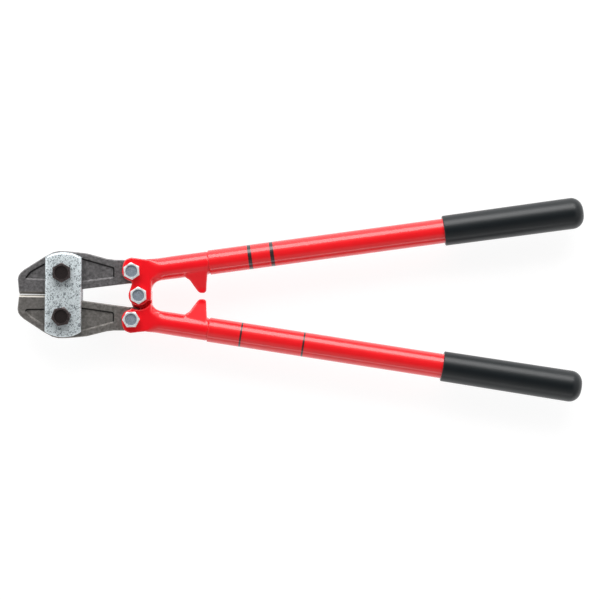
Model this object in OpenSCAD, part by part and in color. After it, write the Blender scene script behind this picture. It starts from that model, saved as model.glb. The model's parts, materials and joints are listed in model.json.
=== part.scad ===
// Bolt cutters: two forged jaws on a pair of link plates, driven by two lapped handles.
// The tool lies flat with its jaws towards -X, its handles towards +X and its bolt heads up (+Z).
// The origin is the foot of the centre pivot's axis, on the plane that the bolt ends stand on.

/* [Linkage] */
// Distance between the two bolts of the link plates
plate_bolt_gap = 35.3; // [34:0.1:43]
// Distance along a jaw from its plate bolt to its handle bolt
jaw_arm = 56.35; // [47:0.05:68]
// Distance from the centre bolt to each jaw bolt
toggle_r = 20.3; // [19.5:0.1:25]
// Direction of the upper jaw bolt from the centre bolt
toggle_angle = 106.5; // [102:0.1:110]
// Angle of each handle to the tool's axis
handle_angle = 8.3; // [6:0.1:12]
// Angle that each handle still closes by before the stops meet
closing_angle = 2.53; // [1:0.01:3.5]
// Angle that each jaw turns by over that closing
jaw_closing_angle = 0.47; // [0.1:0.01:0.8]

/* [Jaws] */
// Reach of a jaw beyond its plate bolt
nose_len = 34.8; // [29:0.1:42]
// Thickness of a jaw
jaw_t = 10; // [8:0.5:13]
// Width of the ground bevel along the cutting edge
blade_bevel = 2.2; // [1.5:0.1:3]
// Thickness of the land left at the cutting edge
edge_land = 0.5; // [0.3:0.1:1]
// Gap between the cutting edges with the handles closed
shut_gap = 0.1; // [0.05:0.05:0.4]
// Radius of the round tail about the handle bolt
tail_r = 9.5; // [8.5:0.1:10.5]
// Depth of the forged pockets
pocket_depth = 1.3; // [0.5:0.1:2]

/* [Link plates] */
// Width of a link plate
plate_w = 29.4; // [25:0.1:36]
// Offset of the plates from their bolt line, towards the handles
plate_shift = 1; // [0:0.1:2]
// Length of a link plate
plate_len = 68.6; // [60:0.1:83]
// Thickness of a link plate
plate_t = 5; // [3:0.5:7]
// Radius of the rounded plate ends
plate_end_r = 27.6; // [22:0.1:34]

/* [Bolts] */
// Diameter of the plate bolts
plate_bolt_d = 10; // [8:0.5:12]
// Width across the flats of the plate bolts and nuts
plate_hex_af = 14; // [13:0.5:17]
// Diameter of the jaw and centre bolts
bolt_d = 8; // [6:0.5:9]
// Width across the flats of the jaw and centre bolts and nuts
hex_af = 12.2; // [11:0.1:14.5]
// Height of a bolt head
head_h = 5.5; // [4:0.5:8]
// Depth of the dish in a bolt head
dish_depth = 1; // [0.4:0.1:2]
// Height of a nut
nut_h = 6.5; // [5:0.5:8]
// Length of a bolt that stands out of its nut
bolt_tail = 2.7; // [1:0.1:5]
// Thickness of a spring washer
washer_t = 2; // [1:0.1:3]

/* [Handles] */
// Thickness of the flat head of a socket
socket_t = 20.5; // [18.5:0.5:24]
// Thickness of a stop finger at its tip
stop_tip_t = 6.5; // [4:0.5:9]
// Diameter of the round arm of a socket
arm_d = 18.6; // [16:0.1:19.5]
// Distance along the handle from the pivot line to the tube
arm_len = 56.3; // [48:0.1:68]
// Drop of the handle's axis below the jaw bolt, on the pivot line
axis_drop = 0.51; // [0:0.01:1]
// Distance from the mouth of the tube back to the stop
stop_setback = 5.8; // [4:0.1:8]
// Outer diameter of a tube
tube_d = 20; // [18:0.1:24]
// Wall of a tube
tube_wall = 1.5; // [1:0.1:2.5]
// Length of tube that shows between socket and grip
tube_visible = 192; // [100:1:260]
// Length of the spigot inside the tube
spigot_len = 32; // [20:1:60]
// Length of a grip
grip_len = 114; // [80:1:140]
// Wall of a grip at its mouth
grip_wall = 2.2; // [1.5:0.1:4]
// Growth of the grip's radius from its mouth to its end
grip_flare = 0.45; // [0:0.05:1.5]
// Thickness of the closed end of a grip
grip_end_wall = 6; // [3:0.5:10]

/* [Fits] */
// Radial clearance of a shank in a bore that turns on it
running_gap = 0.05; // [0.02:0.01:0.1]
// Gap between faces that slide over each other
face_gap = 0.15; // [0.1:0.05:0.4]
// Radial clearance of the lower handle's centre hole, hidden under the lap
free_gap = 1.7; // [1.6:0.1:2]
// Least gap between a jaw's tail and the bottom of its slot with the handles closed
slot_gap = 0.04; // [0.02:0.01:0.4]
// Gap between the pads on which the jaws roll
pad_gap = 0.1; // [0.05:0.05:0.4]
// Gap between the stop fingers with the handles closed
stop_gap = 0.3; // [0.1:0.05:0.8]

/* [Hidden] */
$fn = 64;

// Pivot points of the upper half; the lower half mirrors them
jaw_x = toggle_r * cos(toggle_angle);
jaw_y = toggle_r * sin(toggle_angle);
plate_y = plate_bolt_gap / 2;
plate_x = jaw_x - sqrt(pow(jaw_arm, 2) - pow(jaw_y - plate_y, 2));
plate_mid_x = plate_x + plate_shift;
pad_r = plate_y - pad_gap / 2;
tip_x = plate_x - nose_len;

// Stack of thicknesses, measured from the tool's middle plane
plate_in_z = jaw_t / 2 + face_gap;
plate_out_z = plate_in_z + plate_t;
cheek_in_z = jaw_t / 2 + face_gap + 0.1;
socket_z = socket_t / 2;
mid_z = max(plate_out_z, socket_z) + washer_t + nut_h + bolt_tail;

// Shapes that several parts share
cheek_r = tail_r - 1.5;
slot_r = tail_r + jaw_arm * sin(jaw_closing_angle) + slot_gap;
boss_r = tail_r - 1.1;
lap_r = toggle_r - cheek_r - 0.8;
web_x = boss_r + 1.7;
axis_y = jaw_y - axis_drop;

// Handles
tube_id = tube_d - 2 * tube_wall;
fit_gap = 0.02;
grip_start = arm_len + tube_visible;
grip_end = grip_start + grip_len;
tube_end = grip_end - grip_end_wall - 0.2;
stop_x = arm_len - stop_setback;
stop_y = stop_x * sin(closing_angle) + stop_gap / 2;

// ---- helpers ----

// Places the children of the upper half at their height above the resting plane
module at_mid() {
    translate([0, 0, mid_z]) children();
}

// Turns an upper part over to make the lower one
module lower() {
    translate([0, 0, mid_z]) rotate([180, 0, 0]) children();
}

// Runs a child's own +Z axis along the upper handle, from the pivot line outwards
module along_handle() {
    translate([0, axis_y, 0]) rotate([0, 0, handle_angle]) rotate([0, 90, 0]) children();
}

// Straight prism between two heights
module slab(z0, z1) {
    translate([0, 0, z0]) linear_extrude(z1 - z0) children();
}

// Upright hole or shaft between two heights
module post(x, y, d, z0, z1) {
    translate([x, y, z0]) cylinder(h = z1 - z0, d = d);
}

// Hexagon prism with its corners turned off at one end or both
module hex_prism(af, h, turn, both_ends) {
    corner_r = af / sqrt(3);
    face_r = af / 2 - 0.1;
    wide_r = corner_r + 0.3;
    drop = (wide_r - face_r) * 0.6;
    intersection() {
        rotate([0, 0, turn]) cylinder(h = h, r = corner_r, $fn = 6);
        rotate_extrude() polygon(concat(
            both_ends ? [[0, 0], [face_r, 0], [wide_r, drop]] : [[0, 0], [wide_r, 0]],
            [[wide_r, h - drop], [face_r, h], [0, h]]
        ));
    }
}

// Bolt with a dished hexagon head on a face and its end on the resting plane
module bolt(x, y, d, af, seat_z, turn) {
    tip = d / 10;
    translate([x, y, 0]) {
        difference() {
            translate([0, 0, mid_z + seat_z]) hex_prism(af, head_h, turn, false);
            post(0, 0, af * 0.78, mid_z + seat_z + head_h - dish_depth, mid_z + seat_z + head_h + 1);
        }
        translate([0, 0, tip]) cylinder(h = mid_z + seat_z - tip + 0.01, d = d);
        cylinder(h = tip, d1 = d - 2 * tip, d2 = d);
    }
}

// Split spring washer under a nut
module washer(x, y, d, af, seat_z) {
    translate([x, y, mid_z - seat_z - washer_t]) difference() {
        cylinder(h = washer_t, d = af * 1.12);
        translate([0, 0, -1]) cylinder(h = washer_t + 2, d = d + 2 * running_gap);
        rotate([0, 0, 200]) translate([0, -0.5, -1]) cube([af, 1, washer_t + 2]);
    }
}

// Hexagon nut behind a washer
module nut(x, y, d, af, seat_z, turn) {
    translate([x, y, mid_z - seat_z - washer_t - nut_h]) difference() {
        hex_prism(af, nut_h, turn, true);
        translate([0, 0, -1]) cylinder(h = nut_h + 2, d = d + 2 * fit_gap);
    }
}

// ---- jaws ----

// Nose of the upper jaw, from the cutting edge to the crown above the plate bolt
module nose_outline() {
    edge_y = shut_gap / 2;
    polygon([
        [tip_x, edge_y], [plate_x - 11.5, edge_y], [plate_x - 10.5, 4.4], [plate_x, plate_y],
        [plate_x + 2, plate_y + pad_r - 0.3], [plate_x - 3, plate_y + pad_r],
        [plate_x - 8, plate_y + pad_r - 1.2], [plate_x - 14.8, plate_y + 12.7], [tip_x + 4, plate_y + 2.2],
        [tip_x + 0.9, plate_y - 0.5], [tip_x - 0.7, plate_y - 3], [tip_x - 1.3, plate_y - 6]
    ]);
}

// Shank of the upper jaw, from the plate bolt to the handle bolt
module shank_outline() {
    polygon([
        [plate_x - 2, plate_y + pad_r - 0.3], [plate_x + 2, plate_y + pad_r], [plate_x + 10, plate_y + 17],
        [plate_x + 19.3, plate_y + 16.1], [jaw_x - 20.7, jaw_y + 10.2], [jaw_x - 14.4, tail_r + jaw_y],
        [jaw_x, jaw_y + tail_r - 0.02], [jaw_x + 1, jaw_y - tail_r + 0.1], [jaw_x - 2.9, jaw_y - 9.5],
        [plate_x + 16.7, plate_y - 12.8], [plate_x + 9, plate_y - 14], [plate_x, plate_y]
    ]);
}

// Solid jaw before its pockets, edge and bores are cut
module jaw_blank() {
    z = jaw_t / 2;
    post(plate_x, plate_y, 2 * pad_r, -z, z);
    post(jaw_x, jaw_y, 2 * tail_r, -z, z);
    slab(-z, z) nose_outline();
    slab(-z, z) shank_outline();
}

// Pocket between the nose and the boss about the plate bolt
module nose_pocket() {
    hull() {
        translate([tip_x + 6.7, plate_y - 4.5]) circle(r = 1.7);
        translate([plate_x - 14, plate_y - 4.4]) circle(r = 2);
        translate([plate_x - 14, plate_y + 6.2]) circle(r = 1.5);
        translate([tip_x + 9.6, plate_y - 0.4]) circle(r = 1.5);
    }
}

// Pocket between the boss about the plate bolt and the tail
module tail_pocket() {
    hull() {
        translate([plate_x + 14, plate_y - 5.6]) circle(r = 2);
        translate([jaw_x - 16.3, jaw_y - 3.8]) circle(r = 2);
        translate([jaw_x - 16.3, jaw_y + 1.8]) circle(r = 2);
        translate([plate_x + 14, plate_y + 10.6]) circle(r = 2);
    }
}

// Wedge that grinds one side of the cutting edge down to the land
module edge_grind() {
    rise = (jaw_t - edge_land) / 2;
    slope = atan2(rise, blade_bevel);
    translate([tip_x - 5, shut_gap / 2, edge_land / 2]) rotate([slope, 0, 0])
        translate([0, -20, 0]) cube([nose_len - 5.5, 20 + 2 * rise, 20]);
}

module jaw() {
    translate([plate_x, plate_y, 0]) rotate([0, 0, -jaw_closing_angle]) translate([-plate_x, -plate_y, 0])
        difference() {
            union() jaw_blank();
            for (side = [-1, 1]) {
                slab(side * jaw_t / 2 - pocket_depth, side * jaw_t / 2 + pocket_depth) {
                    nose_pocket();
                    tail_pocket();
                }
            }
            edge_grind();
            mirror([0, 0, 1]) edge_grind();
            post(plate_x, plate_y, plate_bolt_d + 2 * running_gap, -jaw_t, jaw_t);
        }
}

// Upper jaw, drilled for the handle bolt where that bolt stands
module bored_jaw() {
    difference() {
        jaw();
        post(jaw_x, jaw_y, bolt_d + 2 * running_gap, -jaw_t, jaw_t);
    }
}

module upper_jaw() {
    color("#5a5653") at_mid() bored_jaw();
}

module lower_jaw() {
    color("#847f7b") lower() bored_jaw();
}

// ---- link plates ----

module link_plate(z0) {
    end_y = plate_len / 2 - plate_end_r;
    difference() {
        slab(z0, z0 + plate_t) translate([plate_mid_x, 0]) square([plate_w, plate_len], center = true);
        for (side = [-1, 1]) {
            difference() {
                slab(z0 - 1, z0 + plate_t + 1)
                    translate([plate_mid_x - plate_w, side > 0 ? end_y : -end_y - plate_w * 2])
                    square(plate_w * 2);
                post(plate_mid_x, side * end_y, 2 * plate_end_r, z0 - 2, z0 + plate_t + 2);
            }
        }
        for (side = [-1, 1])
            post(plate_x, side * plate_y, plate_bolt_d + 2 * running_gap, z0 - 1, z0 + plate_t + 1);
    }
}

module front_link_plate() {
    color("#b4bdc2") link_plate(mid_z + plate_in_z);
}

module rear_link_plate() {
    color("#b4bdc2") link_plate(mid_z - plate_out_z);
}

// ---- fasteners ----

module upper_plate_bolt() {
    color("#3c3234") bolt(plate_x, plate_y, plate_bolt_d, plate_hex_af, plate_out_z, 30);
}

module lower_plate_bolt() {
    color("#3c3234") bolt(plate_x, -plate_y, plate_bolt_d, plate_hex_af, plate_out_z, 12);
}

module upper_plate_washer() {
    color("#50474a") washer(plate_x, plate_y, plate_bolt_d, plate_hex_af, plate_out_z);
}

module lower_plate_washer() {
    color("#50474a") washer(plate_x, -plate_y, plate_bolt_d, plate_hex_af, plate_out_z);
}

module upper_plate_nut() {
    color("#3c3234") nut(plate_x, plate_y, plate_bolt_d, plate_hex_af, plate_out_z, 8);
}

module lower_plate_nut() {
    color("#3c3234") nut(plate_x, -plate_y, plate_bolt_d, plate_hex_af, plate_out_z, 21);
}

module upper_jaw_bolt() {
    color("#b8c4cc") bolt(jaw_x, jaw_y, bolt_d, hex_af, socket_z, 34);
}

module lower_jaw_bolt() {
    color("#b8c4cc") bolt(jaw_x, -jaw_y, bolt_d, hex_af, socket_z, 2);
}

module upper_jaw_washer() {
    color("#98a2a8") washer(jaw_x, jaw_y, bolt_d, hex_af, socket_z);
}

module lower_jaw_washer() {
    color("#98a2a8") washer(jaw_x, -jaw_y, bolt_d, hex_af, socket_z);
}

module upper_jaw_nut() {
    color("#b8c4cc") nut(jaw_x, jaw_y, bolt_d, hex_af, socket_z, 17);
}

module lower_jaw_nut() {
    color("#b8c4cc") nut(jaw_x, -jaw_y, bolt_d, hex_af, socket_z, 40);
}

module centre_bolt() {
    color("#b8c4cc") bolt(0, 0, bolt_d, hex_af, socket_z, 33);
}

module centre_washer() {
    color("#98a2a8") washer(0, 0, bolt_d, hex_af, socket_z);
}

module centre_nut() {
    color("#b8c4cc") nut(0, 0, bolt_d, hex_af, socket_z, 5);
}

// ---- handle sockets ----

// Flat of the upper socket's head, from the cheeks about the jaw bolt down its neck to the centre boss
module head_outline() {
    polygon([
        [jaw_x - cheek_r, jaw_y + 1], [jaw_x - cheek_r + 0.9, jaw_y + 6.2],
        [jaw_x - cheek_r + 3, jaw_y + 9.5], [jaw_x - 0.8, jaw_y + 11.1],
        [jaw_x + 6.9, jaw_y + 10.1], [jaw_x + 10.7, jaw_y + 9.8],
        [web_x, jaw_y + 4], [web_x, -boss_r / 2], [0, -boss_r / 2], [-boss_r + 0.8, boss_r / 2.4],
        [jaw_x + 0.2, lap_r - 1.8], [jaw_x - 0.5, jaw_y - cheek_r]
    ]);
}

// Round corner that the opening between the handles makes against the arm
module throat_fillet(t) {
    r = 8;
    under_y = axis_y + (web_x + r) * tan(handle_angle) - arm_d / 2 / cos(handle_angle);
    difference() {
        slab(-t, t) translate([web_x - 1, under_y - r]) square([r + 1, r + 2]);
        post(web_x + r, under_y - r, 2 * r, -t - 1, t + 1);
    }
}

// Finger that meets its twin and stops the handles
module stop_outline() {
    polygon([
        [stop_x - 14.5, axis_y], [stop_x - 13, stop_y + 12.2], [stop_x - 9.7, stop_y + 10.3],
        [stop_x - 6.5, stop_y + 5.6], [stop_x - 3.2, stop_y + 1.3], [stop_x - 1.5, stop_y],
        [stop_x + 2.1, stop_y], [stop_x + 3.7, stop_y + 1.6], [stop_x + 3.9, stop_y + 7.6],
        [stop_x + 4.4, stop_y + 15.2], [stop_x + 4.4, axis_y + 5]
    ]);
}

// Space that the jaw's tail sweeps between the cheeks
module jaw_slot() {
    post(jaw_x, jaw_y, 2 * slot_r, -cheek_in_z, cheek_in_z);
    slab(-cheek_in_z, cheek_in_z) translate([jaw_x, jaw_y])
        polygon([[0, -slot_r], [-40, -slot_r - 8], [-40, 40], [6, 40], [6, slot_r - 3]]);
}

// Stop finger, thinned from the arm's thickness towards its tip
module stop_finger() {
    intersection() {
        slab(-arm_d / 2, arm_d / 2) stop_outline();
        rotate([90, 0, 90]) linear_extrude(stop_x + 20)
            polygon([
                [stop_y - 1, -stop_tip_t / 2], [stop_y + 3, -stop_tip_t / 2], [axis_y + 6, -arm_d / 2 + 0.6],
                [axis_y + 6, arm_d / 2 - 0.6], [stop_y + 3, stop_tip_t / 2], [stop_y - 1, stop_tip_t / 2]
            ]);
    }
}

module socket(centre_bore) {
    difference() {
        union() {
            slab(-socket_z, socket_z) head_outline();
            post(0, 0, 2 * boss_r, -socket_z, socket_z);
            post(jaw_x, jaw_y, 2 * cheek_r, -socket_z, socket_z);
            hull() {
                slab(-socket_z + 0.05, socket_z - 0.05) polygon([
                    [web_x - 3, jaw_y - 7], [web_x - 0.3, jaw_y - 7],
                    [web_x - 0.3, jaw_y + 4], [web_x - 4, jaw_y + 10]
                ]);
                along_handle() translate([0, 0, web_x + 7.4]) cylinder(h = 0.5, d = arm_d - 0.6, $fn = 32);
            }
            along_handle() translate([0, 0, web_x + 2]) cylinder(h = arm_len - web_x - 2, d = arm_d);
            along_handle() translate([0, 0, arm_len - 1])
                cylinder(h = spigot_len + 1, d = tube_id - 2 * fit_gap);
            throat_fillet(arm_d * 0.38);
            stop_finger();
        }
        jaw_slot();
        post(0, 0, 2 * lap_r, -socket_z - 1, face_gap / 2);
        post(0, 0, centre_bore, -socket_z - 1, socket_z + 1);
        post(jaw_x, jaw_y, bolt_d + 2 * running_gap, -socket_z - 1, socket_z + 1);
    }
}

module upper_socket() {
    color("#e81a24") at_mid() socket(bolt_d + 2 * running_gap);
}

module lower_socket() {
    color("#e81a24") lower() socket(bolt_d + 2 * free_gap);
}

// ---- tubes and grips ----

module tube() {
    lip = 0.4;
    along_handle() rotate_extrude() polygon([
        [tube_id / 2, arm_len + 0.3], [tube_d / 2 - lip, arm_len + 0.3], [tube_d / 2, arm_len + 0.3 + lip],
        [tube_d / 2, tube_end], [tube_id / 2, tube_end]
    ]);
}

module upper_tube() {
    color("#e81a24") at_mid() tube();
}

module lower_tube() {
    color("#e81a24") lower() tube();
}

module grip() {
    mouth_r = tube_d / 2 + grip_wall;
    end_r = mouth_r + grip_flare;
    dome = 9.5;
    along_handle() difference() {
        rotate_extrude() polygon(concat(
            [[0, grip_start], [mouth_r - 0.5, grip_start], [mouth_r, grip_start + 0.6]],
            [for (a = [0:7.5:90])
                [end_r - dome + dome * cos(a), grip_end - dome + dome * sin(a)]],
            [[0, grip_end]]
        ));
        translate([0, 0, grip_start - 1])
            cylinder(h = grip_len - grip_end_wall + 1, r = tube_d / 2 + fit_gap);
    }
}

module upper_grip() {
    color("#2d3237") at_mid() grip();
}

module lower_grip() {
    color("#2d3237") lower() grip();
}

upper_jaw();
lower_jaw();
front_link_plate();
rear_link_plate();
upper_plate_bolt();
lower_plate_bolt();
upper_plate_washer();
lower_plate_washer();
upper_plate_nut();
lower_plate_nut();
upper_jaw_bolt();
lower_jaw_bolt();
upper_jaw_washer();
lower_jaw_washer();
upper_jaw_nut();
lower_jaw_nut();
centre_bolt();
centre_washer();
centre_nut();
upper_socket();
lower_socket();
upper_tube();
lower_tube();
upper_grip();
lower_grip();
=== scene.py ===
"""Bolt cutters, laid flat on a pale table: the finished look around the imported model.

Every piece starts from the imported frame. Forgings and plates take their outlines from sections of
their nodes, turned pieces are spun about the handle's axis, and each finish is a procedural material.
"""

import json
import logging
import math
from dataclasses import dataclass, field
from enum import Enum
from typing import Callable, Iterable, Optional

import bmesh
import bpy
from mathutils import Matrix, Vector


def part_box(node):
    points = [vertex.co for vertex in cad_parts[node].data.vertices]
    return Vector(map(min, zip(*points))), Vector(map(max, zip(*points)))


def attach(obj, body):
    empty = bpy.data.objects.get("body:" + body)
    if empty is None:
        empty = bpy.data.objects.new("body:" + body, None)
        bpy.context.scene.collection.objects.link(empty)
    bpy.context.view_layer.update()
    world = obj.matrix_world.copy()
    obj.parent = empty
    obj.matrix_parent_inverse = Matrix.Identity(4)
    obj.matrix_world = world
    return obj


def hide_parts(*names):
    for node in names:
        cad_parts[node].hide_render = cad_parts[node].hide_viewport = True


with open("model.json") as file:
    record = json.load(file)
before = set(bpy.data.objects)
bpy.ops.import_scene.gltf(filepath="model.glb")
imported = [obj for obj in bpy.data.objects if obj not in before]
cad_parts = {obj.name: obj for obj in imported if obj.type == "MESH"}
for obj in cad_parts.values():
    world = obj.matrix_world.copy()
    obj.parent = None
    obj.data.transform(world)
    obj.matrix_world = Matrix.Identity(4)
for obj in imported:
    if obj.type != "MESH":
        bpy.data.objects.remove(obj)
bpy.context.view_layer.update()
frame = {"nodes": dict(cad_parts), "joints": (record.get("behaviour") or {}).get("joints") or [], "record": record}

logging.basicConfig(level=logging.INFO, format="%(name)s: %(message)s")
log = logging.getLogger("bolt_cutters")

MM = 0.001
WELD = 0.002 * MM
SPUN_WELD = 0.004 * MM
PLANE_REACH = 0.0001 * MM
SAME_HEIGHT = 0.001 * MM
STRAIGHT = math.radians(0.6)
FULL_TURN = 2 * math.pi
NOISE_ROUGHNESS = 0.6
NOISE_LOW, NOISE_HIGH = 0.3, 0.7
WHITE = (1, 1, 1)


class Side(Enum):
    """Which half of the tool a piece belongs to."""

    UPPER = 1
    LOWER = -1

    @property
    def word(self) -> str:
        """The side's name as it starts a node's name."""
        return self.name.lower()


# ---- meshes ----


def as_object(name: str, shape: bmesh.types.BMesh, smooth_angle: float = 35.0) -> bpy.types.Object:
    """Turns a finished bmesh into an object that is shaded smooth up to an angle.

    Args:
        name: The piece's name.
        shape: The bmesh, which is freed.
        smooth_angle: Edges sharper than this many degrees stay crisp.

    Returns:
        The new object, linked to the scene, at the origin.
    """
    mesh = bpy.data.meshes.new(name)
    shape.to_mesh(mesh)
    shape.free()
    piece = bpy.data.objects.new(name, mesh)
    bpy.context.scene.collection.objects.link(piece)
    shade(piece, smooth_angle)
    return piece


def shade(piece: bpy.types.Object, smooth_angle: float) -> None:
    """Shades a piece smooth, with edges past the given angle in degrees kept sharp."""
    mesh = piece.data
    mesh.polygons.foreach_set("use_smooth", [True] * len(mesh.polygons))
    mesh.set_sharp_from_angle(angle=math.radians(smooth_angle))
    mesh.update()


def merged_copy(node: str) -> bmesh.types.BMesh:
    """Copies a node's loose triangles into one bmesh, with its doubles merged and its slivers dissolved."""
    shape = bmesh.new()
    shape.from_mesh(frame["nodes"][node].data)
    bmesh.ops.remove_doubles(shape, verts=shape.verts, dist=WELD)
    bmesh.ops.dissolve_degenerate(shape, edges=shape.edges, dist=WELD)
    return shape


def section(node: str, height: float) -> bmesh.types.BMesh:
    """Cuts a node level and fills each closed outline of the cut.

    Args:
        node: The node to cut.
        height: Where the level cut lies, in metres.

    Returns:
        A bmesh with one flat face for each outline.
    """
    shape = merged_copy(node)
    geom = shape.verts[:] + shape.edges[:] + shape.faces[:]
    cut = bmesh.ops.bisect_plane(
        shape, geom=geom, dist=PLANE_REACH, plane_co=(0, 0, height), plane_no=(0, 0, 1),
        clear_inner=True, clear_outer=True,
    )
    rim = [e for e in cut["geom_cut"] if isinstance(e, bmesh.types.BMEdge)]
    bmesh.ops.delete(shape, geom=shape.faces[:], context="FACES_ONLY")
    bmesh.ops.edgeloop_fill(shape, edges=rim)
    bmesh.ops.dissolve_limit(
        shape, angle_limit=STRAIGHT, verts=shape.verts, edges=shape.edges, delimit=set()
    )
    return shape


def keep_faces(shape: bmesh.types.BMesh, wanted: Callable[[list], list]) -> None:
    """Deletes every face of a section but those that a rule picks from them, largest first."""
    by_size = sorted(shape.faces, key=lambda f: -f.calc_area())
    kept = set(wanted(by_size))
    bmesh.ops.delete(shape, geom=[f for f in shape.faces if f not in kept], context="FACES")


def raise_prism(shape: bmesh.types.BMesh, bottom: float, top: float) -> None:
    """Raises flat faces into closed prisms between two heights, in metres."""
    for vert in shape.verts:
        vert.co.z = bottom
    raised = bmesh.ops.extrude_face_region(shape, geom=shape.faces[:], use_keep_orig=True)
    for item in raised["geom"]:
        if isinstance(item, bmesh.types.BMVert):
            item.co.z = top
    bmesh.ops.recalc_face_normals(shape, faces=shape.faces)


def rim_edges(shape: bmesh.types.BMesh, height: float, keep: Optional[Callable] = None) -> list:
    """Lists the edges round the flat faces at a height, narrowed by an optional test of the middle."""
    found = []
    for edge in shape.edges:
        if all(abs(v.co.z - height) < SAME_HEIGHT for v in edge.verts):
            middle = (edge.verts[0].co + edge.verts[1].co) / 2
            if keep is None or keep(middle):
                found.append(edge)
    return found


def bevel(shape: bmesh.types.BMesh, edges: Iterable, width: float, steps: int = 1) -> None:
    """Bevels edges by a width in metres."""
    bmesh.ops.bevel(
        shape, geom=list(edges), offset=width, offset_type="OFFSET", segments=steps, profile=0.5,
        affect="EDGES", clamp_overlap=True, material=-1,
    )


def slice_off(shape: bmesh.types.BMesh, point: Vector, outward: Vector) -> None:
    """Cuts away what lies beyond a plane and closes the cut."""
    geom = shape.verts[:] + shape.edges[:] + shape.faces[:]
    cut = bmesh.ops.bisect_plane(
        shape, geom=geom, dist=PLANE_REACH, plane_co=point, plane_no=outward, clear_outer=True
    )
    rim = [e for e in cut["geom_cut"] if isinstance(e, bmesh.types.BMEdge) and e.is_boundary]
    if rim:
        bmesh.ops.edgeloop_fill(shape, edges=rim)
    bmesh.ops.recalc_face_normals(shape, faces=shape.faces)


def bake_modifiers(piece: bpy.types.Object) -> None:
    """Replaces a piece's mesh by what its modifiers make of it."""
    bpy.context.view_layer.update()
    graph = bpy.context.evaluated_depsgraph_get()
    made = bpy.data.meshes.new_from_object(piece.evaluated_get(graph), depsgraph=graph)
    piece.modifiers.clear()
    old = piece.data
    piece.data = made
    bpy.data.meshes.remove(old)


def cut_with(piece: bpy.types.Object, cutter: bpy.types.Object) -> None:
    """Takes the cutter's shape out of a piece and removes the cutter."""
    change = piece.modifiers.new("cut", "BOOLEAN")
    change.operation = "DIFFERENCE"
    change.solver = "EXACT"
    change.object = cutter
    bake_modifiers(piece)
    bpy.data.objects.remove(cutter)


def pivot(name: str) -> Vector:
    """Finds where a joint's axis stands in the frame."""
    return Vector(next(j["pos_m"] for j in frame["joints"] if j["name"] == name))


def drill(piece: bpy.types.Object, axis: Vector, radius: float, low: float, high: float) -> None:
    """Bores a round upright hole in a piece.

    Args:
        piece: The piece to bore.
        axis: A point on the hole's axis.
        radius: The hole's radius in metres.
        low: Where the hole starts, as a height in metres.
        high: Where it ends.
    """
    shape = bmesh.new()
    bmesh.ops.create_cone(
        shape, cap_ends=True, segments=96, radius1=radius, radius2=radius, depth=high - low,
        matrix=Matrix.Translation((axis.x, axis.y, (low + high) / 2)),
    )
    cut_with(piece, as_object("drill", shape))


def soften(piece: bpy.types.Object, width: float, steps: int = 2, angle: float = 30.0) -> None:
    """Breaks a piece's sharp edges by a small width, in metres, with a live bevel."""
    change = piece.modifiers.new("soften", "BEVEL")
    change.width = width
    change.segments = steps
    change.limit_method = "ANGLE"
    change.angle_limit = math.radians(angle)
    change.use_clamp_overlap = True
    change.harden_normals = False


def encloses(loop: list, point: Vector) -> bool:
    """Tells whether a flat outline goes round a point."""
    odd = False
    for a, b in zip(loop, loop[1:] + loop[:1]):
        if (a.y > point.y) != (b.y > point.y) and point.x < (b.x - a.x) * (point.y - a.y) / (b.y - a.y) + a.x:
            odd = not odd
    return odd


def mark_faces(piece: bpy.types.Object, mark: str, wanted: Callable) -> None:
    """Writes a face attribute that is 1 where a test of the polygon holds and 0 elsewhere."""
    layer = piece.data.attributes.new(mark, "FLOAT", "FACE")
    layer.data.foreach_set("value", [float(wanted(face)) for face in piece.data.polygons])


def spun(profile: list, axis_from: Vector, axis_dir: Vector, steps: int = 96) -> bmesh.types.BMesh:
    """Spins a profile about an axis.

    Args:
        profile: (distance along the axis, radius) pairs in metres, starting and ending on the axis
            or on a closed ring.
        axis_from: A point on the axis, from which distances are counted.
        axis_dir: The axis's direction.
        steps: How many steps make the full turn.

    Returns:
        The closed turned shape.
    """
    along = axis_dir.normalized()
    outward = along.orthogonal().normalized()
    shape = bmesh.new()
    ring = [shape.verts.new(axis_from + along * s + outward * r) for s, r in profile]
    edges = [shape.edges.new(pair) for pair in zip(ring, ring[1:])]
    if profile[0][1] > 0 and profile[-1][1] > 0:
        edges.append(shape.edges.new((ring[-1], ring[0])))
    bmesh.ops.spin(
        shape, geom=ring + edges, cent=axis_from, axis=along, angle=FULL_TURN, steps=steps,
        use_merge=True, use_duplicate=False,
    )
    bmesh.ops.remove_doubles(shape, verts=shape.verts, dist=SPUN_WELD)
    bmesh.ops.recalc_face_normals(shape, faces=shape.faces)
    return shape


def round_mouth(start: float, radius: float, rounding: float, steps: int = 6) -> list:
    """Lists the quarter circle that turns an end face into a side, for a spun profile."""
    angles = [math.pi / 2 * (1 - step / steps) for step in range(steps + 1)]
    return [(start + rounding * (1 - math.sin(a)), radius - rounding * (1 - math.cos(a))) for a in angles]


# ---- materials ----


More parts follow.
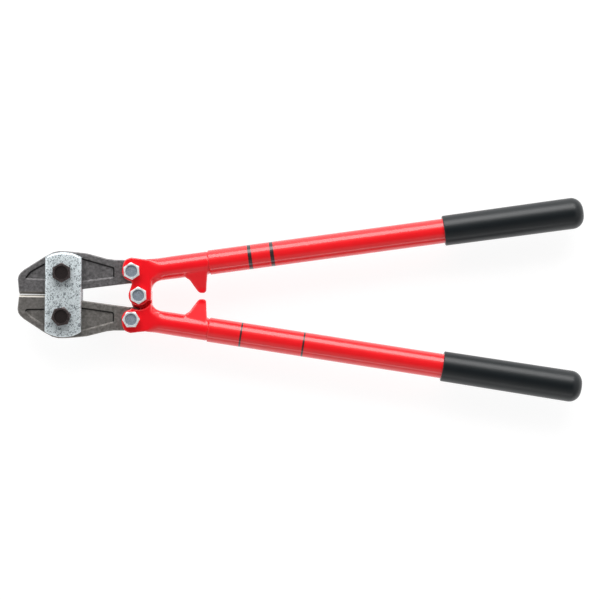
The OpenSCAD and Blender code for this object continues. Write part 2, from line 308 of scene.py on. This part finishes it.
class NodeBoard:
    """A material's node tree, with short ways to add and join its nodes."""

    def __init__(self, name: str) -> None:
        """Starts a material with an empty principled shader."""
        self.material = bpy.data.materials.new(name)
        self.material.use_nodes = True
        self.tree = self.material.node_tree
        self.tree.nodes.clear()
        self.shader = self.add("ShaderNodeBsdfPrincipled")
        out = self.add("ShaderNodeOutputMaterial")
        self.join(self.shader.outputs["BSDF"], out.inputs["Surface"])
        self.place = self.add("ShaderNodeTexCoord").outputs["Object"]

    def add(self, kind: str, **settings: object) -> bpy.types.Node:
        """Adds a node and sets its properties."""
        node = self.tree.nodes.new(kind)
        for key, value in settings.items():
            setattr(node, key, value)
        return node

    def join(self, output: bpy.types.NodeSocket, socket: bpy.types.NodeSocket) -> None:
        """Links an output to an input."""
        self.tree.links.new(output, socket)

    def noise(self, size: float, detail: float) -> bpy.types.NodeSocket:
        """Adds a noise pattern.

        Args:
            size: The size of its blotches in metres.
            detail: Its octaves of detail.

        Returns:
            The pattern's value, from 0 to 1.
        """
        node = self.add("ShaderNodeTexNoise")
        node.inputs["Scale"].default_value = 1 / size
        node.inputs["Detail"].default_value = detail
        node.inputs["Roughness"].default_value = NOISE_ROUGHNESS
        self.join(self.place, node.inputs["Vector"])
        return node.outputs["Fac"]

    def mark(self, name: str) -> bpy.types.NodeSocket:
        """Reads a mark that was written on the mesh, 0 where there is none."""
        return self.add("ShaderNodeAttribute", attribute_name=name).outputs["Fac"]

    def cells(self, size: float) -> bpy.types.NodeSocket:
        """Adds a pattern of cells, each of one random value, of a size in metres."""
        node = self.add("ShaderNodeTexVoronoi", feature="F1")
        node.inputs["Scale"].default_value = 1 / size
        self.join(self.place, node.inputs["Vector"])
        grey = self.add("ShaderNodeRGBToBW")
        self.join(node.outputs["Color"], grey.inputs["Color"])
        return grey.outputs["Val"]

    def ramp(self, value: bpy.types.NodeSocket, *stops: tuple) -> bpy.types.NodeSocket:
        """Maps a value to colours by (position, colour) stops."""
        node = self.add("ShaderNodeValToRGB")
        points = node.color_ramp.elements
        while len(points) > 1:
            points.remove(points[-1])
        points[0].position, points[0].color = stops[0][0], (*stops[0][1], 1)
        for position, colour in stops[1:]:
            points.new(position).color = (*colour, 1)
        self.join(value, node.inputs["Fac"])
        return node.outputs["Color"]

    def levels(self, value: bpy.types.NodeSocket, low: float, high: float, out_low: float,
               out_high: float) -> bpy.types.NodeSocket:
        """Stretches a value between two levels onto an output range, clamped."""
        node = self.add("ShaderNodeMapRange")
        for key, number in (("From Min", low), ("From Max", high), ("To Min", out_low), ("To Max", out_high)):
            node.inputs[key].default_value = number
        self.join(value, node.inputs["Value"])
        return node.outputs["Result"]

    def clouded(self, pattern: bpy.types.NodeSocket, dark: tuple, light: tuple) -> bpy.types.NodeSocket:
        """Spreads two colours over a noise pattern."""
        return self.ramp(pattern, (NOISE_LOW, dark), (NOISE_HIGH, light))

    def worn(self, pattern: bpy.types.NodeSocket, smooth: float, coarse: float) -> bpy.types.NodeSocket:
        """Spreads a roughness over a noise pattern."""
        return self.levels(pattern, NOISE_LOW, NOISE_HIGH, smooth, coarse)

    def math(self, operation: str, first: object, second: object = 0.0) -> bpy.types.NodeSocket:
        """Adds a maths node on two sockets or numbers."""
        node = self.add("ShaderNodeMath", operation=operation)
        for socket, item in zip(node.inputs, (first, second)):
            if isinstance(item, bpy.types.NodeSocket):
                self.join(item, socket)
            else:
                socket.default_value = item
        return node.outputs["Value"]

    def mix(self, factor: object, below: object, above: object) -> bpy.types.NodeSocket:
        """Lays one colour over another by a factor."""
        node = self.add("ShaderNodeMix", data_type="RGBA", blend_type="MIX")
        for socket, item in zip((node.inputs[0], node.inputs[6], node.inputs[7]), (factor, below, above)):
            if isinstance(item, bpy.types.NodeSocket):
                self.join(item, socket)
            elif isinstance(item, (int, float)):
                socket.default_value = item
            else:
                socket.default_value = (*item, 1)
        return node.outputs[2]

    def bump(self, height: bpy.types.NodeSocket, depth: float, strength: float = 1.0) -> None:
        """Raises the surface by a pattern, to a depth in metres."""
        node = self.add("ShaderNodeBump")
        node.inputs["Distance"].default_value = depth
        node.inputs["Strength"].default_value = strength
        self.join(height, node.inputs["Height"])
        self.join(node.outputs["Normal"], self.shader.inputs["Normal"])

    def set(self, **values: object) -> None:
        """Sets shader sockets, or links them where the value is a socket; _ stands for a space."""
        for key, value in values.items():
            socket = self.shader.inputs[key.replace("_", " ")]
            if isinstance(value, bpy.types.NodeSocket):
                self.join(value, socket)
            else:
                socket.default_value = (*value, 1) if isinstance(value, tuple) else value


def shaded(colour: tuple, factor: float) -> tuple:
    """Scales a colour, up to white."""
    return tuple(min(1.0, c * factor) for c in colour)


@dataclass(frozen=True)
class ForgedSteel:
    """Dark drop-forged steel with a fine scale, and painted shade on the pocket walls that are marked as facing
    down the tool.
    """

    name: str
    dark: tuple
    light: tuple
    bright: tuple = (0.86, 0.82, 0.74)
    scale_size: float = 2.2 * MM
    grain_size: float = 0.35 * MM
    grain_share: float = 0.35
    # Painted shade: the near-black colour and its strength, laid on pocket walls that face away from the light.
    soot: tuple = (0.012, 0.011, 0.011)
    soot_share: float = 0.92
    metallic: float = 0.7
    ground_metallic: float = 0.15
    depth: float = 0.05 * MM

    def material(self) -> bpy.types.Material:
        """Builds the material."""
        board = NodeBoard(self.name)
        scale = board.noise(self.scale_size, 6)
        grain = board.noise(self.grain_size, 3)
        colour = board.clouded(scale, self.dark, self.light)
        skin = board.mix(board.levels(grain, 0.35, 0.75, 0, self.grain_share), colour, self.light)
        # Painted shade: the marked pocket walls, which face down the tool away from the light, are darkened almost
        # to black.
        skin = board.mix(board.math("MULTIPLY", board.mark("recess"), self.soot_share), skin, self.soot)
        ground = board.mark("ground")
        board.set(
            Base_Color=board.mix(ground, skin, self.bright),
            Metallic=board.levels(ground, 0, 1, self.metallic, self.ground_metallic),
            Roughness=board.worn(scale, 0.36, 0.52), IOR=1.5,
        )
        board.bump(board.math("ADD", grain, board.math("MULTIPLY", scale, 0.8)), self.depth, 0.6)
        return board.material


@dataclass(frozen=True)
class ZincPlate:
    """Sheared plate with a mottled bright zinc coat."""

    name: str
    dark: tuple
    light: tuple
    cell_size: float = 0.9 * MM
    cloud_size: float = 3 * MM
    speck_size: float = 0.5 * MM
    cell_share: float = 0.35
    glint: float = 1.15
    depth: float = 0.08 * MM

    def material(self) -> bpy.types.Material:
        """Builds the material."""
        board = NodeBoard(self.name)
        fleck = board.math("MULTIPLY", board.cells(self.cell_size), self.cell_share)
        cloud = board.noise(self.cloud_size, 5)
        speck = board.noise(self.speck_size, 2)
        value = board.math("ADD", fleck, board.math("MULTIPLY", speck, 1 - self.cell_share))
        worn = board.math("SUBTRACT", value, board.levels(cloud, 0.42, 0.68, -0.03, 0.09))
        colour = board.ramp(
            worn, (0.36, self.dark), (0.44, self.light), (0.72, shaded(self.light, self.glint))
        )
        board.set(Base_Color=colour, Metallic=0.35, Roughness=board.worn(speck, 0.3, 0.5), IOR=1.6)
        board.bump(value, self.depth, 0.5)
        return board.material


@dataclass(frozen=True)
class PlatedBolt:
    """Plated or blacked steel: flecked faces, a darker speckled dish and a cut thread."""

    name: str
    dark: tuple
    light: tuple
    dish: tuple
    metallic: float
    roughness: float
    pitch: float = 1.25 * MM
    fleck_size: float = 0.8 * MM
    stain_size: float = 0.45 * MM
    stain: float = 0.55
    depth: float = 0.22 * MM

    def material(self) -> bpy.types.Material:
        """Builds the material."""
        board = NodeBoard(self.name)
        fleck = board.noise(self.fleck_size, 4)
        colour = board.ramp(fleck, (0.35, self.dark), (0.65, self.light))
        grain = board.noise(self.stain_size, 3)
        # The dish in the head's top gets its own darker colour, made darker still where a fine noise speckles it.
        speckled_dish = board.ramp(grain, (0.42, shaded(self.dish, self.stain)), (0.6, self.dish))
        colour = board.mix(board.mark("dish"), colour, speckled_dish)
        rough = board.worn(fleck, self.roughness - 0.06, self.roughness + 0.08)
        board.set(Base_Color=colour, Metallic=self.metallic, Roughness=rough)
        split = board.add("ShaderNodeSeparateXYZ")
        board.join(board.place, split.inputs["Vector"])
        ridge = board.math("SINE", board.math("MULTIPLY", split.outputs["Z"], FULL_TURN / self.pitch))
        thread = board.math("MULTIPLY", ridge, board.mark("thread"))
        board.bump(board.math("ADD", thread, board.math("MULTIPLY", fleck, 0.12)), self.depth, 0.8)
        return board.material


@dataclass(frozen=True)
class RedPaint:
    """Gloss red paint under a clear coat, with plain dark bands where a start and width are given."""

    name: str
    colour: tuple
    peel: float
    bands: tuple = ()
    along: Vector = field(default_factory=lambda: Vector((1, 0, 0)))
    axis_from: Vector = field(default_factory=Vector)
    band_colour: tuple = (0.035, 0.02, 0.02)
    cloud_size: float = 14 * MM
    cloud_shade: float = 0.92
    peel_size: float = 2.5 * MM
    peel_depth: float = 0.02 * MM

    def material(self) -> bpy.types.Material:
        """Builds the material."""
        board = NodeBoard(self.name)
        cloud = board.noise(self.cloud_size, 3)
        colour = board.clouded(cloud, shaded(self.colour, self.cloud_shade), self.colour)
        if self.bands:
            colour = board.mix(self._band_mask(board), colour, self.band_colour)
        board.set(
            Base_Color=colour, Metallic=0.0, Roughness=0.34, IOR=1.5, Coat_Weight=1.0,
            Coat_Roughness=0.1, Specular_IOR_Level=0.25,
        )
        board.bump(board.noise(self.peel_size, 2), self.peel_depth, self.peel)
        return board.material

    def _band_mask(self, board: NodeBoard) -> bpy.types.NodeSocket:
        """Makes a mask that is 1 on the painted bands, by distance along the tube."""
        dot = board.add("ShaderNodeVectorMath", operation="DOT_PRODUCT")
        board.join(board.place, dot.inputs[0])
        dot.inputs[1].default_value = self.along
        reach = board.math("SUBTRACT", dot.outputs["Value"], self.axis_from.dot(self.along))
        mask = None
        for start, width in self.bands:
            off = board.math("ABSOLUTE", board.math("SUBTRACT", reach, start + width / 2))
            inside = board.math("LESS_THAN", off, width / 2)
            mask = inside if mask is None else board.math("MAXIMUM", mask, inside)
        return mask


@dataclass(frozen=True)
class Vinyl:
    """Dipped black vinyl with a fine satin skin."""

    name: str
    colour: tuple
    skin_size: float = 0.5 * MM
    cloud_size: float = 9 * MM
    cloud_shade: float = 0.85
    depth: float = 0.05 * MM

    def material(self) -> bpy.types.Material:
        """Builds the material."""
        board = NodeBoard(self.name)
        skin = board.noise(self.skin_size, 3)
        cloud = board.noise(self.cloud_size, 3)
        colour = board.clouded(cloud, shaded(self.colour, self.cloud_shade), self.colour)
        board.set(Base_Color=colour, Roughness=board.worn(skin, 0.3, 0.4), IOR=1.48)
        board.bump(skin, self.depth, 0.6)
        return board.material


def dress(piece: bpy.types.Object, material: bpy.types.Material, body: str,
          stands_for: tuple = ()) -> None:
    """Gives a piece its material, fixes it to its body and hides the nodes that it replaces.

    Args:
        piece: The finished piece.
        material: Its material.
        body: The CAD body it rides on.
        stands_for: CAD nodes that it replaces.
    """
    piece.data.materials.clear()
    piece.data.materials.append(material)
    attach(piece, body)
    if stands_for:
        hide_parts(*stands_for)
    log.info("%s rides on %s", piece.name, body)


# ---- sub-assemblies ----


@dataclass
class Jaws:
    """The two forged jaws, with broken edges, drafted pockets and ground cutting edges."""

    rim: float = 1.7 * MM
    pocket_depth: float = 1.3 * MM
    pocket_draft: float = 1.28 * MM
    grind: float = 2.2 * MM
    land: float = 0.5 * MM
    plate_bore: float = 5.05 * MM
    tail_bore: float = 4.05 * MM
    nose_length: float = 30 * MM
    edge_guard: float = 1.2 * MM
    ground_margin: float = 0.2 * MM
    smallest_pocket: float = 90 * MM * MM
    look_inside: float = 1.5 * MM
    broken_edge: float = 0.22 * MM
    crisp: float = 28

    def build(self) -> None:
        """Builds both jaws."""
        # Both jaws are one forged steel. The upper copy is set darker overall. Its ground bevel faces down, away
        # from the light, and is painted near black: painted shade. The lower jaw's ground bevel faces the light
        # and keeps the bright colour of ground steel.
        jaw_steels = {
            Side.UPPER: ForgedSteel(
                "forged_dark", (0.10, 0.097, 0.099), (0.28, 0.27, 0.274), (0.16, 0.15, 0.14)
            ),
            Side.LOWER: ForgedSteel("forged_light", (0.135, 0.126, 0.117), (0.31, 0.294, 0.278)),
        }
        for side in Side:
            node = f"{side.word}_jaw"
            piece = self._forging(node, side)
            dress(piece, jaw_steels[side].material(), node, (node,))

    def _forging(self, node: str, side: Side) -> bpy.types.Object:
        """Makes one jaw from the sections of its node."""
        low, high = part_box(node)
        middle = (low.z + high.z) / 2
        shape = section(node, middle)
        keep_faces(shape, lambda faces: faces[:1])
        edge_y = min(abs(low.y), abs(high.y))
        raise_prism(shape, low.z, high.z)

        def off_the_edge(point: Vector) -> bool:
            """Tells a rim's middle that lies away from the cutting edge."""
            return abs(point.y) > edge_y + self.edge_guard or point.x > low.x + self.nose_length

        rims = rim_edges(shape, low.z, off_the_edge) + rim_edges(shape, high.z, off_the_edge)
        bevel(shape, rims, self.rim)
        rise = (high.z - low.z - self.land) / 2
        for up in (1, -1):
            outward = Vector((0, -side.value * rise, up * self.grind)).normalized()
            start = Vector((low.x, side.value * edge_y, middle + up * self.land / 2))
            slice_off(shape, start, outward)
        piece = as_object(f"{side.word}_jaw_forging", shape)
        outlines = []
        for up in (1, -1):
            cutter, loops = self._pocket_cutter(node, low, high, up)
            outlines += loops
            cut_with(piece, cutter)
        drill(piece, pivot(f"{side.word}_jaw_pivot"), self.plate_bore, low.z - MM, high.z + MM)
        drill(piece, pivot(f"{side.word}_handle_pivot"), self.tail_bore, low.z - MM, high.z + MM)
        shade(piece, self.crisp)
        self._mark_recess(piece, outlines)
        self._mark_ground(piece, side, low.x + self.nose_length, edge_y + self.grind + self.ground_margin)
        soften(piece, self.broken_edge)
        return piece

    def _mark_recess(self, piece: bpy.types.Object, outlines: list) -> None:
        """Marks the pockets' slanted walls that face down the tool, away from the light, where shade is painted.
        """
        def sooty(face: bpy.types.MeshPolygon) -> bool:
            """Tells a slanted wall that looks into a pocket."""
            inside = face.center.xy + face.normal.xy.normalized() * self.look_inside
            slanted = 0.2 < abs(face.normal.z) < 0.95 and face.normal.y < 0.25
            return slanted and any(encloses(loop, inside) for loop in outlines)

        mark_faces(piece, "recess", sooty)

    def _mark_ground(self, piece: bpy.types.Object, side: Side, nose_end: float, reach: float) -> None:
        """Marks the two ground faces that meet at the cutting edge."""
        def freshly_ground(face: bpy.types.MeshPolygon) -> bool:
            """Tells a slanted face beside the edge that looks towards the other jaw."""
            near = abs(face.center.y) < reach and face.center.x < nose_end
            return near and 0.2 < abs(face.normal.z) < 0.9 and face.normal.y * side.value < -0.3

        mark_faces(piece, "ground", freshly_ground)

    def _pocket_cutter(self, node: str, low: Vector, high: Vector, up: int) -> tuple:
        """Makes the tapered cutter for the pockets of one face, and lists the pockets' outlines."""
        face = high.z if up > 0 else low.z
        shape = section(node, face - up * self.pocket_depth / 2)
        keep_faces(shape, lambda faces: [f for f in faces[1:] if f.calc_area() > self.smallest_pocket])
        loops = [[v.co.xy for v in f.verts] for f in shape.faces]
        floor = face - up * self.pocket_depth
        outside = face + up * 2 * MM
        raise_prism(shape, min(floor, outside), max(floor, outside))
        bevel(shape, rim_edges(shape, floor), self.pocket_draft)
        return as_object("pocket_cutter", shape), loops


@dataclass
class LinkPlates:
    """The pair of sheared link plates with rolled-over edges."""

    roll: float = 1.9 * MM
    roll_steps: int = 3
    crisp: float = 30

    def build(self) -> None:
        """Builds both plates."""
        material = ZincPlate("zinc_plate", (0.10, 0.13, 0.15), (0.74, 0.81, 0.835)).material()
        for node in ("front_link_plate", "rear_link_plate"):
            low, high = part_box(node)
            shape = section(node, (low.z + high.z) / 2)
            keep_faces(shape, lambda faces: faces[:1])
            raise_prism(shape, low.z, high.z)
            bevel(shape, rim_edges(shape, low.z) + rim_edges(shape, high.z), self.roll, self.roll_steps)
            piece = as_object(node.replace("link_plate", "plate_blank"), shape, 25)
            self._drill(piece, node, low, high)
            shade(piece, self.crisp)
            dress(piece, material, "link_plates", (node,))

    def _drill(self, piece: bpy.types.Object, node: str, low: Vector, high: Vector) -> None:
        """Drills the plate's two bolt holes."""
        holes = section(node, (low.z + high.z) / 2)
        keep_faces(holes, lambda faces: faces[1:])
        raise_prism(holes, low.z - MM, high.z + MM)
        cut_with(piece, as_object("plate_drill", holes))


@dataclass
class Fasteners:
    """The five bolts with their nuts and split washers."""

    edge: float = 0.25 * MM
    round_edge: float = 1.0 * MM
    dish: float = 1.0 * MM
    dish_share: float = 0.41
    crisp: float = 32

    def build(self) -> None:
        """Builds every fastener from its node."""
        black = PlatedBolt(
            "black_oxide", (0.025, 0.018, 0.019), (0.12, 0.097, 0.096), (0.045, 0.034, 0.034), 0.6, 0.4
        ).material()
        zinc = PlatedBolt(
            "bright_zinc", (0.72, 0.78, 0.80), (0.92, 0.95, 0.95), (0.42, 0.49, 0.57), 0.35, 0.34
        ).material()
        for body, nodes in frame["record"]["behaviour"]["bodies"].items():
            for node in nodes:
                if node.endswith(("_bolt", "_nut", "_washer")):
                    finish, slot = (black, "black_bolt") if "plate" in node else (zinc, "zinc_bolt")
                    dress(self._broken_edges(node), finish, body, (node,))

    def _broken_edges(self, node: str) -> bpy.types.Object:
        """Copies a fastener with its sharp edges broken."""
        shape = merged_copy(node)
        bmesh.ops.dissolve_limit(
            shape, angle_limit=math.radians(1), verts=shape.verts, edges=shape.edges, delimit=set()
        )
        piece = as_object(f"{node}_finished", shape, self.crisp)
        if node.endswith("_bolt"):
            low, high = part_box(node)
            axis = (low + high) / 2
            rim = min(high.x - low.x, high.y - low.y) * self.dish_share
            mark_faces(piece, "dish", lambda f: f.center.z > high.z - self.dish - 0.1 * MM
                       and f.center.z < high.z - 0.05 * MM and (f.center - axis).xy.length < rim)
            mark_faces(piece, "thread", lambda f: abs(f.normal.z) < 0.3 and f.center.z < axis.z
                       and (f.center - axis).xy.length < rim)
        widths = {"bolt": self.round_edge if "plate" in node else self.edge, "nut": self.edge,
                  "washer": self.edge / 2}
        soften(piece, widths[node.rsplit("_", 1)[1]], 3, 40)
        return piece


BANDS = {
    Side.UPPER: ((32 * MM, 3 * MM), (50 * MM, 3 * MM)),
    Side.LOWER: ((26 * MM, 1.5 * MM), (77 * MM, 1.5 * MM)),
}


@dataclass
class Handle:
    """One handle: the forged socket, its tube and its dipped grip."""

    side: Side
    angle: float = 8.3
    axis_drop: float = 0.51 * MM
    voxel: float = 0.5 * MM
    seam: float = 0.15 * MM
    spigot_depth: float = 1.54 * MM
    running_bore: float = 4.05 * MM
    free_bore: float = 5.7 * MM
    slot: float = 10.05 * MM
    slot_half: float = 5.25 * MM
    seat_length: float = 8 * MM
    root: float = 17.0 * MM
    root_reach: float = 11.0 * MM
    forging_passes: int = 26
    root_passes: int = 80
    tube_wall: float = 1.5 * MM
    lip: float = 0.6 * MM
    flare: float = 0.45 * MM
    dome: float = 9.5 * MM
    mouth: float = 0.9 * MM
    grip_gap: float = 0.02 * MM
    floor_gap: float = 0.2 * MM
    mouth_inset: float = 0.3 * MM
    dome_steps: int = 16

    def __post_init__(self) -> None:
        """Works out the handle's axis from its pivots in the frame."""
        joint = next(j for j in frame["joints"] if j["name"] == f"{self.side.word}_handle_pivot")
        _, y, z = joint["pos_m"]
        turn = math.radians(self.angle) * self.side.value
        self.body = f"{self.side.word}_handle"
        self.along = Vector((math.cos(turn), math.sin(turn), 0))
        self.foot = Vector((0, y - self.side.value * self.axis_drop, z))

    def reach(self, node: str) -> tuple:
        """Finds where a node starts and ends along the axis, and its largest radius."""
        runs, radii = [], []
        for vert in frame["nodes"][node].data.vertices:
            offset = vert.co - self.foot
            run = offset.dot(self.along)
            runs.append(run)
            radii.append((offset - self.along * run).length)
        return min(runs), max(runs), max(radii)

    def build(self, paint: bpy.types.Material, vinyl: bpy.types.Material) -> None:
        """Builds the handle's three pieces."""
        self._socket(paint)
        self._tube()
        self._grip(vinyl)

    def _socket(self, paint: bpy.types.Material) -> None:
        """Softens the socket's node into one blended forging."""
        node = f"{self.side.word}_socket"
        piece = as_object(f"{node}_forging", merged_copy(node))
        skin = piece.modifiers.new("skin", "REMESH")
        skin.mode = "VOXEL"
        skin.voxel_size = self.voxel
        flow = piece.modifiers.new("flow", "SMOOTH")
        flow.factor = 0.5
        flow.iterations = self.forging_passes
        bake_modifiers(piece)
        self._fair_root(piece)
        self._machine(piece, node)
        shade(piece, 50)
        dress(piece, paint, self.body, (node,))

    def _machine(self, piece: bpy.types.Object, node: str) -> None:
        """Bores the softened forging for its bolts and clears the slot that the jaw's tail turns in."""
        low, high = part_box(node)
        bolt = pivot(f"{self.side.word}_handle_pivot")
        centre = {Side.UPPER: self.running_bore, Side.LOWER: self.free_bore}[self.side]
        drill(piece, bolt, self.running_bore, low.z - MM, high.z + MM)
        drill(piece, Vector((0, 0, 0)), centre, low.z - MM, high.z + MM)
        drill(piece, bolt, self.slot, bolt.z - self.slot_half, bolt.z + self.slot_half)
        start, _, radius = self.reach(f"{self.side.word}_tube")
        near, far = start - self.seam, start + self.seat_length
        inner, outer = radius - self.spigot_depth, radius + MM
        ring = spun([(near, inner), (near, outer), (far, outer), (far, inner)], self.foot, self.along)
        cut_with(piece, as_object("seat", ring))

    def _fair_root(self, piece: bpy.types.Object) -> None:
        """Runs the flat head into the round arm with a longer smoothing, faded out at both ends."""
        group = piece.vertex_groups.new(name="root")
        for vert in piece.data.vertices:
            run = (vert.co - self.foot).dot(self.along)
            weight = 1 - abs(run - self.root) / self.root_reach
            if weight > 0:
                group.add([vert.index], min(1.0, 2 * weight), "REPLACE")
        flow = piece.modifiers.new("root", "SMOOTH")
        flow.factor = 0.5
        flow.iterations = self.root_passes
        flow.vertex_group = "root"
        bake_modifiers(piece)
        piece.vertex_groups.clear()

    def _tube(self) -> None:
        """Spins the tube, with a rounded lip where it meets the socket."""
        node = f"{self.side.word}_tube"
        start, end, radius = self.reach(node)
        bore = radius - self.tube_wall
        profile = [(start, bore)] + round_mouth(start, radius, self.lip) + [(end, radius), (end, bore)]
        piece = as_object(f"{node}_drawn", spun(profile, self.foot, self.along, 128), 40)
        bands = tuple((start + offset, width) for offset, width in BANDS[self.side])
        paint = RedPaint(
            f"red_tube_{self.side.word}", (0.92, 0.010, 0.016), 0.25, bands, self.along, self.foot
        )
        dress(piece, paint.material(), self.body, (node,))

    def _grip(self, vinyl: bpy.types.Material) -> None:
        """Spins the grip: a rolled mouth, a slow flare and a flattened dome."""
        node = f"{self.side.word}_grip"
        start, end, radius = self.reach(node)
        _, tube_end, tube_radius = self.reach(f"{self.side.word}_tube")
        floor, bore = tube_end + self.floor_gap, tube_radius + self.grip_gap
        profile = [(floor, 0), (floor, bore), (start + self.mouth_inset, bore)]
        profile += round_mouth(start, radius - self.flare, self.mouth)
        for step in range(self.dome_steps + 1):
            a = math.pi * step / (2 * self.dome_steps)
            run, out = self.dome * math.sin(a), self.dome * math.cos(a)
            profile.append((end - self.dome + run, radius - self.dome + out))
        profile.append((end, 0))
        piece = as_object(f"{node}_dipped", spun(profile, self.foot, self.along, 96), 50)
        dress(piece, vinyl, self.body, (node,))


@dataclass(frozen=True)
class SoftBox:
    """One rectangular light that faces the tool's middle."""

    name: str
    place: Vector
    width: float
    height: float
    watts: float
    target: tuple = (0.1, 0, 0)

    def hang(self) -> None:
        """Adds the light to the scene."""
        lamp = bpy.data.lights.new(self.name, "AREA")
        lamp.shape = "RECTANGLE"
        lamp.size, lamp.size_y = self.width, self.height
        lamp.energy = self.watts
        holder = bpy.data.objects.new(self.name, lamp)
        holder.location = self.place
        holder.rotation_euler = (Vector(self.target) - self.place).to_track_quat("-Z", "Y").to_euler()
        bpy.context.scene.collection.objects.link(holder)


@dataclass
class Studio:
    """The pale table, the soft lights and the camera straight above the tool."""

    distance: float = 1.9
    view_width: float = 0.486
    roll: float = 0.58
    centre: tuple = (0.1300, -0.0024)
    sensor: float = 36.0
    wall_height: float = 0.7
    ceiling_height: float = 0.97
    bright_side: tuple = (-0.35, 0.94, 0.0)
    bright_wall: float = 1.1
    dim_wall: float = 0.4
    ceiling_light: float = 0.05
    table_size: float = 3.0
    table_grey: tuple = (0.22, 0.22, 0.22)
    table_glow: float = 0.86

    def build(self) -> None:
        """Sets up table, lights and camera."""
        self._table()
        self._world()
        self._lights()
        self._camera()

    def _table(self) -> None:
        """Lays the pale table under the tool."""
        shape = bmesh.new()
        bmesh.ops.create_grid(shape, x_segments=1, y_segments=1, size=self.table_size)
        table = as_object("table", shape)
        board = NodeBoard("table_white")
        board.set(
            Base_Color=self.table_grey, Roughness=0.9, Emission_Color=WHITE,
            Emission_Strength=self.table_glow,
        )
        table.data.materials.append(board.material)

    def _world(self) -> None:
        """Fills the room with light: dim overhead, bright on the upper side, low on the other."""
        world = bpy.data.worlds.new("studio")
        bpy.context.scene.world = world
        world.use_nodes = True
        tree = world.node_tree
        place = tree.nodes.new("ShaderNodeTexCoord")
        split = tree.nodes.new("ShaderNodeSeparateXYZ")
        tree.links.new(place.outputs["Generated"], split.inputs["Vector"])
        across = tree.nodes.new("ShaderNodeMapRange")
        for key, value in (("From Min", -1.0), ("To Min", self.dim_wall), ("To Max", self.bright_wall)):
            across.inputs[key].default_value = value
        slant = tree.nodes.new("ShaderNodeVectorMath")
        slant.operation = "DOT_PRODUCT"
        slant.inputs[1].default_value = self.bright_side
        tree.links.new(place.outputs["Generated"], slant.inputs[0])
        tree.links.new(slant.outputs["Value"], across.inputs["Value"])
        rise = tree.nodes.new("ShaderNodeMapRange")
        rise.interpolation_type = "SMOOTHSTEP"
        rise.inputs["From Min"].default_value = self.wall_height
        rise.inputs["From Max"].default_value = self.ceiling_height
        tree.links.new(split.outputs["Z"], rise.inputs["Value"])
        blend = tree.nodes.new("ShaderNodeMix")
        blend.inputs[3].default_value = self.ceiling_light
        tree.links.new(rise.outputs["Result"], blend.inputs[0])
        tree.links.new(across.outputs["Result"], blend.inputs[2])
        tree.nodes["Background"].inputs["Color"].default_value = (*WHITE, 1)
        tree.links.new(blend.outputs[0], tree.nodes["Background"].inputs["Strength"])

    def _lights(self) -> None:
        """Hangs one broad soft box beyond the tool's upper side and a fill on the lower side."""
        SoftBox("key", Vector((0.1, 1.4, 0.9)), 2.1, 1.0, 28.0).hang()
        SoftBox("fill", Vector((0.1, -1.6, 0.6)), 1.8, 0.35, 3.0).hang()

    def _camera(self) -> None:
        """Hangs the camera straight above, turned a little about its own axis."""
        low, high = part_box("upper_jaw")
        height = (low.z + high.z) / 2
        lens = bpy.data.cameras.new("camera")
        lens.sensor_width = self.sensor
        lens.lens = self.sensor * self.distance / self.view_width
        holder = bpy.data.objects.new("camera", lens)
        holder.location = (*self.centre, height + self.distance)
        holder.rotation_euler = (0, 0, math.radians(self.roll))
        bpy.context.scene.collection.objects.link(holder)
        bpy.context.scene.camera = holder
        bpy.context.scene.view_settings.view_transform = "Standard"


def main() -> None:
    """Builds the whole object, then its setting."""
    Jaws().build()
    LinkPlates().build()
    Fasteners().build()
    socket_paint = RedPaint("red_socket", (0.95, 0.006, 0.014), 0.5).material()
    vinyl = Vinyl("black_vinyl", (0.006, 0.009, 0.011)).material()
    for side in Side:
        Handle(side).build(socket_paint, vinyl)
    Studio().build()


if __name__ == "__main__":
    main()
